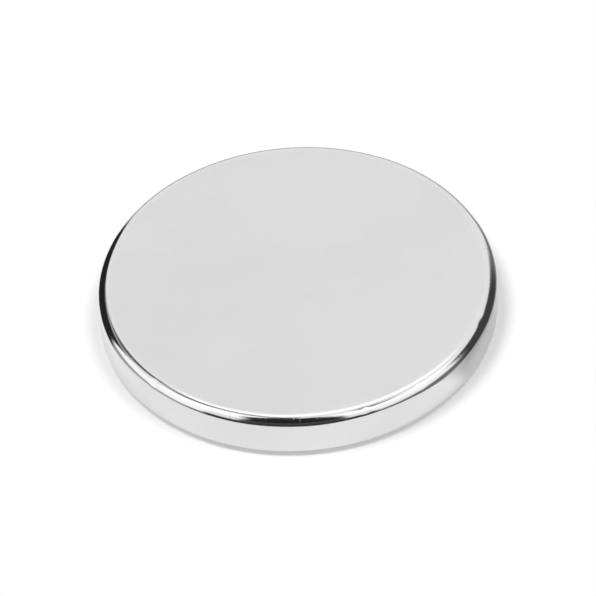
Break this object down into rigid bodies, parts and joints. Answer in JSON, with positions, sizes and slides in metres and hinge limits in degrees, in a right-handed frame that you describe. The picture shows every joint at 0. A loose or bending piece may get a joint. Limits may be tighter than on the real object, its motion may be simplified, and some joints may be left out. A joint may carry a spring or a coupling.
{
  "type": "disc magnet",
  "caption": "Thin flat disc magnet, plated bright all over, with rounded edges and a pole on each flat face.",
  "frame": {"origin": "middle of the lower pole face, on the surface that the disc lies on", "axes": "+Z along the disc's axis, which is also the axis it is magnetised on; X and Y are any two directions across the round face"},
  "size_m": [0.009, 0.009, 0.0011],
  "materials": {
    "nickel_plating": "bright nickel plating"
  },
  "bodies": {
    "root": {"disc_magnet": "nickel_plating"}
  },
  "joints": []
}
